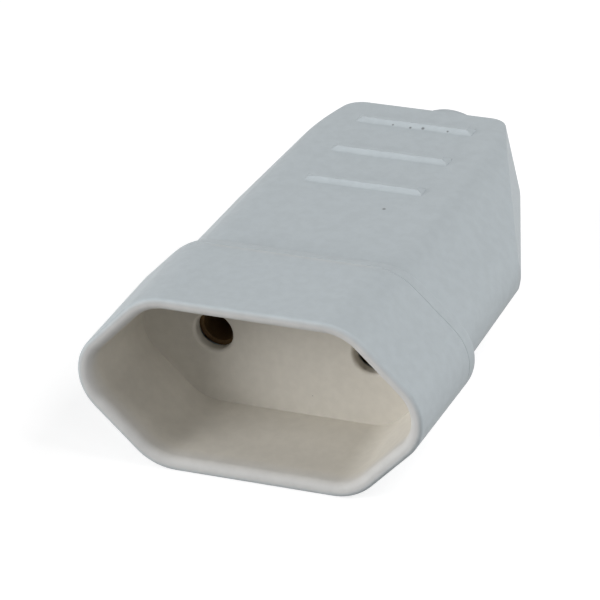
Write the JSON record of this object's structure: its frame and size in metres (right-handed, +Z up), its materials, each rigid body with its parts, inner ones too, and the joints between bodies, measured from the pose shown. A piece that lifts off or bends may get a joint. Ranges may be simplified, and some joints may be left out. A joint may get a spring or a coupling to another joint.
{
  "type": "in-line power socket",
  "caption": "Pale moulded in-line power socket for a cord end: rounded hexagonal plug recess with round pin holes, tapered ribbed hood, cord outlet.",
  "frame": {"origin": "middle of the recess floor, where the plug's face seats", "axes": "+X across the two pin holes, +Y from the plug to the cord outlet, +Z up through the flat top"},
  "size_m": [0.0408, 0.063, 0.0214],
  "materials": {
    "front_plastic": "satin moulded",
    "hood_plastic": "satin moulded",
    "inner_plastic": "plain moulded",
    "brass": "bare",
    "spring_steel": "spring steel",
    "screw_steel": "zinc plated"
  },
  "bodies": {
    "root": {"case_nut": "screw_steel", "case_screw": "screw_steel", "clamp_screw_left": "screw_steel", "clamp_screw_right": "screw_steel", "contact_cover": "inner_plastic", "contact_left": "brass", "contact_right": "brass", "contact_spring_left": "spring_steel", "contact_spring_right": "spring_steel", "cord_clamp_bar": "inner_plastic", "cover_screw": "screw_steel", "rear_hood": "hood_plastic", "socket_front": "front_plastic", "terminal_block_left": "brass", "terminal_block_right": "brass", "terminal_screw_left": "screw_steel", "terminal_screw_right": "screw_steel"}
  },
  "joints": []
}
